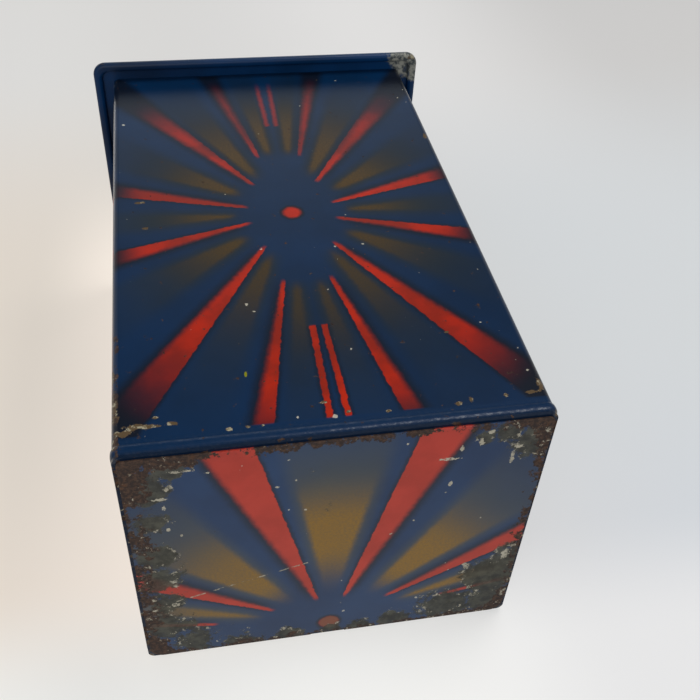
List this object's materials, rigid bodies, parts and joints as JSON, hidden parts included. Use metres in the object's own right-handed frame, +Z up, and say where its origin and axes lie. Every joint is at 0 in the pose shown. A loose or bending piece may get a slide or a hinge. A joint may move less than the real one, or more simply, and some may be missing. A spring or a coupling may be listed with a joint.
{
  "type": "jack in the box",
  "caption": "Tall tin box with a flat overhanging lid on a back hinge and a front hook catch; a spring jack with a cloth body, ruff, painted head and felt hat rises as the lid opens.",
  "frame": {"origin": "middle of the bottom plate's outer face", "axes": "+Z up from the bottom plate to the lid; -Y towards the catch on the front wall, +Y towards the lid's hinge; X is the box's depth"},
  "size_m": [0.0806, 0.0956, 0.146],
  "materials": {
    "blue_tin": "glossy printed tinplate, dark blue with red and gold rays, worn at the edges",
    "base_tin": "satin printed tinplate, blue with red and gold rays, rusted round its edge",
    "plain_steel": "dull plated steel, slightly rusted",
    "brass_fittings": "tarnished brass",
    "spring_steel": "blued spring wire",
    "raw_wood": "plain turned softwood",
    "costume_cloth": "printed cotton",
    "ruff_cloth": "stiffened muslin",
    "face_paint": "painted turned wood, satin",
    "nose_paint": "gloss paint on wood",
    "hat_felt": "wool felt",
    "bobble_wool": "wool",
    "hair_wool": "mohair",
    "hand_felt": "felt"
  },
  "bodies": {
    "box": {"body_shell": "blue_tin", "bottom_plate": "base_tin", "body_hinge_leaf": "plain_steel", "hinge_pin": "plain_steel", "hinge_rivets": "plain_steel", "catch_plate": "brass_fittings", "catch_rivets": "brass_fittings", "catch_stud": "brass_fittings", "base_disc": "raw_wood", "base_staples": "plain_steel"},
    "lid": {"lid_plate": "blue_tin", "catch_eye": "brass_fittings"},
    "hook": {"catch_hook": "brass_fittings"},
    "jack": {"spring": "spring_steel", "costume": "costume_cloth", "neck_staples": "plain_steel", "neck_disc": "raw_wood", "neck_dowel": "raw_wood", "collar_ruff": "ruff_cloth", "head": "face_paint", "nose": "nose_paint", "hat": "hat_felt", "hat_bobble": "bobble_wool", "left_hair": "hair_wool", "right_hair": "hair_wool", "left_sleeve": "costume_cloth", "right_sleeve": "costume_cloth", "left_hand": "hand_felt", "right_hand": "hand_felt"}
  },
  "joints": [
    {"name": "lid_hinge", "type": "hinge", "parent": "box", "child": "lid", "pos_m": [0, 0.0466, 0.1448], "axis": [-1, 0, 0], "range_deg": [0, 115]},
    {"name": "jack_rise", "type": "slide", "parent": "box", "child": "jack", "axis": [0, 0, 1], "range_m": [0, 0.075], "deforming": ["spring", "costume"]},
    {"name": "catch_hook_swing", "type": "hinge", "parent": "box", "child": "hook", "pos_m": [0, -0.04455, 0.1172], "axis": [0, -1, 0], "range_deg": [-60, 167.8]}
  ],
  "couplings": [
    {"joint": "jack_rise", "follows": "lid_hinge", "m_per_rad": 0.0365}
  ]
}
